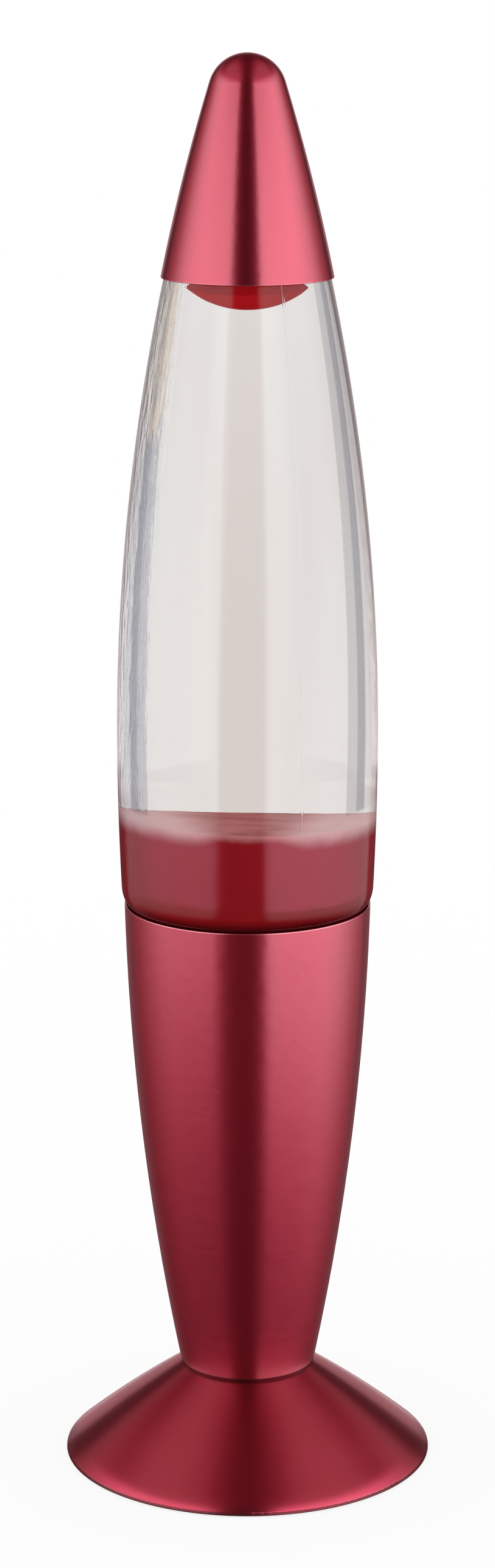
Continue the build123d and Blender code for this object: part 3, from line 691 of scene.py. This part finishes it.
innerHeelZ = floorZ + bottleShape["innerHeel"]
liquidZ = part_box("liquid")[1].z
lowerCentre = (bellyRadius - bottleShape["lowerCurve"], bellyZ)
upperCentre = (bellyRadius - bottleShape["upperCurve"], bellyZ)


def angleAt(centre, radius, height):
    return math.degrees(math.asin((height - centre[1]) / radius))


def radiusAt(centre, radius, height):
    return centre[0] + math.sqrt(radius ** 2 - (height - centre[1]) ** 2)


def outsideRadius(height):
    if height > bellyZ:
        return radiusAt(upperCentre, bottleShape["upperCurve"], min(height, shoulderZ))
    return radiusAt(lowerCentre, bottleShape["lowerCurve"], height)


def insideCurves(outset):
    lower, upper = (bottleShape[curve] - bottleShape["wall"] + outset
                    for curve in ("lowerCurve", "upperCurve"))
    return lower, upper


def insideFloor(shape, outset):
    # From the middle of the floor round the heel to the wall, outset into the glass
    heelRound = bottleShape["innerHeel"] + outset
    heelRadius = radiusAt(lowerCentre, insideCurves(outset)[0], innerHeelZ) - heelRound
    last = lineTo(shape, None, 0, floorZ - outset)
    last = lineTo(shape, last, heelRadius, floorZ - outset)
    return arcTo(shape, last, (heelRadius, innerHeelZ), 90, bottleShape["heelSteps"][1])


def waver(shape, amount, reach):
    # The blown wall isn't even: its inside waves a little, more on the left
    for vertex in shape.verts:
        radius = math.hypot(*vertex.co.xy)
        if radius < bottleShape["bore"] or vertex.co.z > shoulderZ or not reach(radius, vertex.co.z):
            continue
        turn = math.atan2(vertex.co.y, vertex.co.x)
        height = (vertex.co.z - bellyZ) * 100
        wave = sum(share * math.sin(times * turn + climb * height + start)
                   for share, times, climb, start in bottleShape["waves"])
        share, times, climb = bottleShape["leftWave"]
        wave += share * (1 - math.cos(turn)) / 2 * math.sin(climb * height + times * turn)
        scale = 1 + amount * wave / radius
        vertex.co.x *= scale
        vertex.co.y *= scale


def buildBottle(values):
    shape = bmesh.new()
    puntRadius, puntRise = values["punt"]
    puntCurve = (puntRadius ** 2 + puntRise ** 2) / (2 * puntRise)
    heelReach = values["lowerCurve"] - values["heel"]
    heelTurn = -math.degrees(math.asin(values["bellyAboveHeel"] / heelReach))
    heelCentre = (
        lowerCentre[0] + heelReach * math.cos(math.radians(heelTurn)), bottleLow.z + values["heel"])
    last = lineTo(shape, None, 0, bottleLow.z + puntRise)
    last = arcTo(shape, last, (0, bottleLow.z + puntRise - puntCurve),
                 -math.degrees(math.asin(puntRadius / puntCurve)), values["puntSteps"])
    last = lineTo(shape, last, heelCentre[0], bottleLow.z)
    last = arcTo(shape, last, heelCentre, 90 + heelTurn, values["heelSteps"][0])
    last = arcTo(shape, last, lowerCentre, -heelTurn, values["lowerSteps"])
    last = arcTo(shape, last, upperCentre, angleAt(upperCentre, values["upperCurve"], shoulderZ),
                 values["upperSteps"])
    shoulderRadius = last.co.x
    lipRadius, lipHeight, lipRound = values["lip"]
    for radius, height in (
        (values["neck"], neckZ), (values["neck"], mouthZ - lipHeight), (lipRadius, mouthZ - lipHeight),
        (lipRadius, mouthZ), (values["bore"], mouthZ), (values["bore"], neckZ),
    ):
        last = lineTo(shape, last, radius, height)

    lower, upper = insideCurves(0)
    inner = insideFloor(shape, 0)
    inner = arcTo(shape, inner, lowerCentre, -angleAt(lowerCentre, lower, innerHeelZ),
                  values["lowerSteps"])
    inner = arcTo(shape, inner, upperCentre, angleAt(upperCentre, upper, shoulderZ), values["upperSteps"])
    innerShoulder = inner.co.x
    shape.edges.new((last, inner))
    turnRound(shape, values["segments"])
    waver(shape, values["wave"], lambda radius, height:
          radius < outsideRadius(height) - values["wall"] / 2 and height > innerHeelZ)
    for radius, height, offset in (
        (shoulderRadius, shoulderZ, values["shoulderRound"]),
        (innerShoulder, shoulderZ, values["shoulderRound"]),
        (values["neck"], neckZ, values["neckRound"]), (values["bore"], neckZ, values["neckRound"]),
        (lipRadius, mouthZ, lipRound), (lipRadius, mouthZ - lipHeight, lipRound),
    ):
        roundRing(shape, radius, height, offset)
    for face in shape.faces:
        middle = face.calc_center_median()
        inwards = face.normal.x * middle.x + face.normal.y * middle.y < 0
        inwards = inwards or face.normal.z > values["floorNormal"]
        inside = math.hypot(middle.x, middle.y) < outsideRadius(middle.z) - values["insideDepth"]
        if inwards and inside and middle.z < liquidZ:
            face.material_index = 1
    return shape


# The liquid and the wax reach a little way into the glass, so that no air lies between them
fillings = {
    "liquidOutset": 0.00012,
    "waxOutset": 0.00020,
    "liquidDip": 0.016,  # how far the liquid's piece reaches down into the wax
    "liquidWall": 0.003,  # what waves with the glass lies nearer than this to the bottle's outside
    "waxWall": 0.004,
    "meniscus": 0.0012,
    "waxMeniscus": 0.0005,
    "waxRim": ((0.4, 0.25), (1.0, 0.8), (2.0, 1.0)),  # steps inwards, and depths below the edge
    "waxTopDepth": 0.8,
    "wallSteps": 24,
    "topRings": 24,
}


def buildLiquid(values):
    shape = bmesh.new()
    lower, upper = insideCurves(values["liquidOutset"])
    low = waxZ - values["liquidDip"]
    topZ = liquidZ - values["meniscus"] / 2
    last = lineTo(shape, None, 0, low)
    last = lineTo(shape, last, radiusAt(lowerCentre, lower, low), low)
    last = arcTo(shape, last, lowerCentre, -angleAt(lowerCentre, lower, low), values["wallSteps"])
    last = arcTo(shape, last, upperCentre, angleAt(upperCentre, upper, liquidZ), bottleShape["upperSteps"])
    last = lineTo(shape, last, last.co.x - values["meniscus"], topZ)
    lineTo(shape, last, 0, topZ)
    turnRound(shape, bottleShape["segments"])
    waver(shape, bottleShape["wave"], lambda radius, height:
          radius > outsideRadius(height) - values["liquidWall"])
    return shape


def buildWax(values):
    shape = bmesh.new()
    lower = insideCurves(values["waxOutset"])[0]
    last = insideFloor(shape, values["waxOutset"])
    wallTurn = angleAt(lowerCentre, lower, waxZ) - angleAt(lowerCentre, lower, innerHeelZ)
    last = arcTo(shape, last, lowerCentre, wallTurn, values["wallSteps"])
    rim = values["waxMeniscus"]
    for inwards, down in values["waxRim"]:
        last = lineTo(shape, last, last.co.x - inwards * rim, waxZ - down * rim)
    topRadius = last.co.x
    for step in range(1, values["topRings"] + 1):
        last = lineTo(shape, last, topRadius * (1 - step / values["topRings"]),
                      waxZ - values["waxTopDepth"] * rim)
    turnRound(shape, bottleShape["segments"])
    for vertex in shape.verts:
        share = max(0, vertex.co.z - floorZ) / (waxZ - floorZ)
        radius = math.hypot(*vertex.co.xy)
        wallRadius = radiusAt(lowerCentre, lower, vertex.co.z)
        onWall = vertex.co.z > innerHeelZ and radius > wallRadius - nearEnough
        vertex.co.z += share ** 3 * (waxTop(vertex.co.x, vertex.co.y) - waxZ)
        if onWall:
            scale = radiusAt(lowerCentre, lower, vertex.co.z) / radius
            vertex.co.x *= scale
            vertex.co.y *= scale
    waver(shape, bottleShape["wave"], lambda radius, height:
          radius > outsideRadius(height) - values["waxWall"] and height > innerHeelZ)
    return shape


glass = bottleGlass("bottleGlass", clearThings)
wetGlass = bottleGlass("wetGlass", clearThings, clearThings["insideTint"])
liquid = tintedLiquid("liquid", clearThings)
wax = waxSurface("redWax", redWax, True)
finishPiece(buildBottle(bottleShape), "bottle_shape", [glass, wetGlass],
            "bottle", ["bottle"])
finishPiece(buildLiquid(fillings), "liquid_filling", [liquid], "bottle", ["liquid"])
finishPiece(buildWax(fillings), "wax_body", [wax], "bottle", ["wax"])
print("bottle, liquid and wax ready")


# Finishes of the other pieces: two shades, roughness, grain per metre and depth of the surface's bump
finishes = {
    "black_painted_steel": {"shades": (0.022, 0.045), "roughness": 0.42, "grain": 900, "bump": 0.00002},
    "black_rubber": {"shades": (0.016, 0.034), "roughness": 0.75, "grain": 2600, "bump": 0.00003},
    "black_bakelite": {"shades": (0.014, 0.030), "roughness": 0.28, "grain": 350, "bump": 0.000006},
    "black_glass": {"shades": (0.010, 0.020), "roughness": 0.12, "grain": 300, "bump": 0.000004},
    "white_porcelain": {"shades": ((0.82, 0.80, 0.75), (0.70, 0.67, 0.61)), "roughness": 0.25,
                        "grain": 260, "bump": 0.00001},
    "white_liner": {"shades": ((0.80, 0.80, 0.78), (0.70, 0.70, 0.67)), "roughness": 0.60,
                    "grain": 700, "bump": 0.00001},
    "zinc_plated_steel": {"shades": ((0.62, 0.63, 0.65), (0.47, 0.48, 0.46)), "roughness": 0.32,
                          "grain": 420, "bump": 0.000006, "metal": True},
    "brass": {"shades": ((0.72, 0.52, 0.23), (0.52, 0.35, 0.16)), "roughness": 0.30,
              "grain": 380, "bump": 0.000006, "metal": True},
    "nickel_plate": {"shades": ((0.66, 0.64, 0.60), (0.54, 0.52, 0.48)), "roughness": 0.22,
                     "grain": 420, "bump": 0.000004, "metal": True},
    "solder": {"shades": ((0.56, 0.57, 0.59), (0.38, 0.39, 0.41)), "roughness": 0.36,
               "grain": 900, "bump": 0.00002, "metal": True},
    "tungsten": {"shades": ((0.26, 0.26, 0.27), (0.16, 0.16, 0.17)), "roughness": 0.45,
                 "grain": 3000, "bump": 0.00002, "metal": True},
    "spring_wire": {"shades": ((0.52, 0.52, 0.51), (0.38, 0.38, 0.37)), "roughness": 0.34,
                    "grain": 1500, "bump": 0.00001, "metal": True},
    "tinned_steel": {"shades": ((0.64, 0.63, 0.60), (0.50, 0.49, 0.46)), "roughness": 0.28,
                     "grain": 500, "bump": 0.000008, "metal": True},
}
surfaceMix = {
    "broadGrain": 1 / 8,
    "broadNoise": (4.0, 0.6),
    "fineNoise": (3.0, 0.55),
    "broadShare": 0.65,
    "fineShare": 0.35,
    "patchRange": (0.36, 0.66),
    "roughRange": (0.3, 0.7),
    "roughSpread": (0.8, 1.25),
    "threadDepth": 0.8,  # of the pitch
}
threads = {"nipple": 0.001, "lampholder_terminal_screws": 0.0005}  # pitch


def solidSurface(name, finish, values, pitch=None):
    material, tree, place = placedMaterial(name)
    first, second = (shade if isinstance(shade, tuple) else (shade,) * 3 for shade in finish["shades"])
    broad = addNoise(tree, place, finish["grain"] * values["broadGrain"], *values["broadNoise"])
    fine = addNoise(tree, place, finish["grain"], *values["fineNoise"])
    patches = calc(tree, "MULTIPLY_ADD", fine, values["fineShare"],
                   calc(tree, "MULTIPLY", broad, values["broadShare"]))
    colour = mixColours(tree, rise(tree, patches, *values["patchRange"]), first + (1,), second + (1,))
    rough = (min(1.0, finish["roughness"] * spread) for spread in values["roughSpread"])
    bump = addBump(tree, fine, finish["bump"])
    if pitch:
        across, along, height = split(tree, place)
        turn = calc(tree, "DIVIDE", calc(tree, "ARCTAN2", along, across), math.tau)
        climb = calc(tree, "SUBTRACT", calc(tree, "DIVIDE", height, pitch), turn)
        groove = calc(tree, "PINGPONG", climb, 0.5)
        bump = addBump(tree, groove, pitch * values["threadDepth"], bump)
    shader = addSurface(tree, {
        "Base Color": colour, "Roughness": rise(tree, broad, *values["roughRange"], *rough),
        "Metallic": 1.0 if finish.get("metal") else 0.0, "Normal": bump})
    return finishMaterial(material, shader)


# Reflector bulb: mirrored inside up to its widest ring, frosted above
bulbGlass = {
    "mirror": (0.80, 0.81, 0.83, 1.0),
    "frost": (0.94, 0.94, 0.92, 1.0),
    "edge": (-0.0006, 0.0006),
    "edgeRagged": 0.0006,
    "faceDepth": 0.0105,
    "mirrorRoughness": (0.14, 0.24),
    "mirrorCoat": 0.03,
    "frostRoughness": 0.45,
    "frostCoat": (0.6, 0.08),  # weight and roughness
    "frostClear": 0.45,
    "cloud": (320.0, 4.0, 0.6),
    "cloudRange": (0.3, 0.7),
    "bump": 0.00002,
    "stemIor": 1.5,
    "stemColour": (0.95, 0.98, 0.96, 1),
    "stemRoughness": (0.02, 0.08),
    "stemStreaks": (500.0, 2.0, 0.5),
    "stemBump": 0.00003,
}


def bulbSurface(name, values):
    material, tree, place = placedMaterial(name)
    cloud = addNoise(tree, place, *values["cloud"])
    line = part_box("bulb_envelope")[1].z - values["faceDepth"]
    low, high = values["edge"]
    ragged = calc(tree, "SUBTRACT", cloud, 0.5)
    ragged = calc(tree, "MULTIPLY_ADD", ragged, values["edgeRagged"], split(tree, place)["Z"])
    mirror = addSurface(tree, {
        "Base Color": values["mirror"], "Metallic": 1.0, "Coat Weight": 1.0,
        "Coat Roughness": values["mirrorCoat"],
        "Roughness": rise(tree, cloud, *values["cloudRange"], *values["mirrorRoughness"])})
    coat, coatRoughness = values["frostCoat"]
    frost = addSurface(tree, {
        "Base Color": values["frost"], "Roughness": values["frostRoughness"], "Coat Weight": coat,
        "Coat Roughness": coatRoughness, "Transmission Weight": values["frostClear"],
        "Normal": addBump(tree, cloud, values["bump"])})
    frosted = rise(tree, ragged, line + low, line + high)
    return finishMaterial(material, mixShaders(tree, frosted, mirror, frost))


def clearStem(name, values):
    material, tree, place = placedMaterial(name)
    streaks = addNoise(tree, place, *values["stemStreaks"])
    shader = addSurface(tree, {
        "Base Color": values["stemColour"], "IOR": values["stemIor"], "Transmission Weight": 1.0,
        "Roughness": rise(tree, streaks, *values["cloudRange"], *values["stemRoughness"]),
        "Normal": addBump(tree, streaks, values["stemBump"])})
    return finishMaterial(material, shader)


# Every piece gets its surface. Where the sleeve meets the foot, and under the foot's edge, the metal gets
# painted shade; the rims get a lighter band, partly wear and partly a painted highlight
metalEdges = {
    "jointRadius": 0.0203,
    "jointAbove": 0.0003,
    "jointReach": 0.0010,
    "footCurl": 0.0053,  # where the foot's edge begins to curl down, from its outside
    "footUnder": 0.0014,  # height of the painted shade under it
    "sleeveWearAndHighlight": 0.00045,
    "capWearAndHighlight": 0.0004,
}
slots = {part["node"]: part["material_slot"] for part in frame["record"]["subparts"]}
joint = (metalEdges["jointRadius"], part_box("sleeve")[0].z + metalEdges["jointAbove"],
         metalEdges["jointReach"])
footRim = (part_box("foot_shell")[1].x - metalEdges["footCurl"], metalEdges["footUnder"])
sleeveWearAndHighlight = (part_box("sleeve")[1].z, metalEdges["sleeveWearAndHighlight"])
capWearAndHighlight = (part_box("cap")[0].z, metalEdges["capWearAndHighlight"])
special = {
    "foot_shell": brushedMetal("redFoot", redMetal, (), joint, footRim),
    "sleeve": brushedMetal("redSleeve", redMetal, (sleeveWearAndHighlight,), joint),
    "cap": brushedMetal("redCap", redMetal, (capWearAndHighlight,)),
    "floating_wax": waxSurface("floatingWax", floatWax, False),
    "bulb_envelope": bulbSurface("bulbGlass", bulbGlass),
    "bulb_stem": clearStem("stemGlass", bulbGlass),
}
plain = {}
for name, node in nodes.items():
    slotName = slots[name]
    if name in special:
        material = special[name]
    elif slotName in finishes:
        finishName = name if name in threads else slotName
        if finishName not in plain:
            plain[finishName] = solidSurface(
                finishName, finishes[slotName], surfaceMix, threads.get(name))
        material = plain[finishName]
    else:
        if name not in ("bottle", "liquid", "wax"):
            print("no finish for", name, slotName)
        continue
    node.data.materials.clear()
    node.data.materials.append(material)
print("finishes ready")
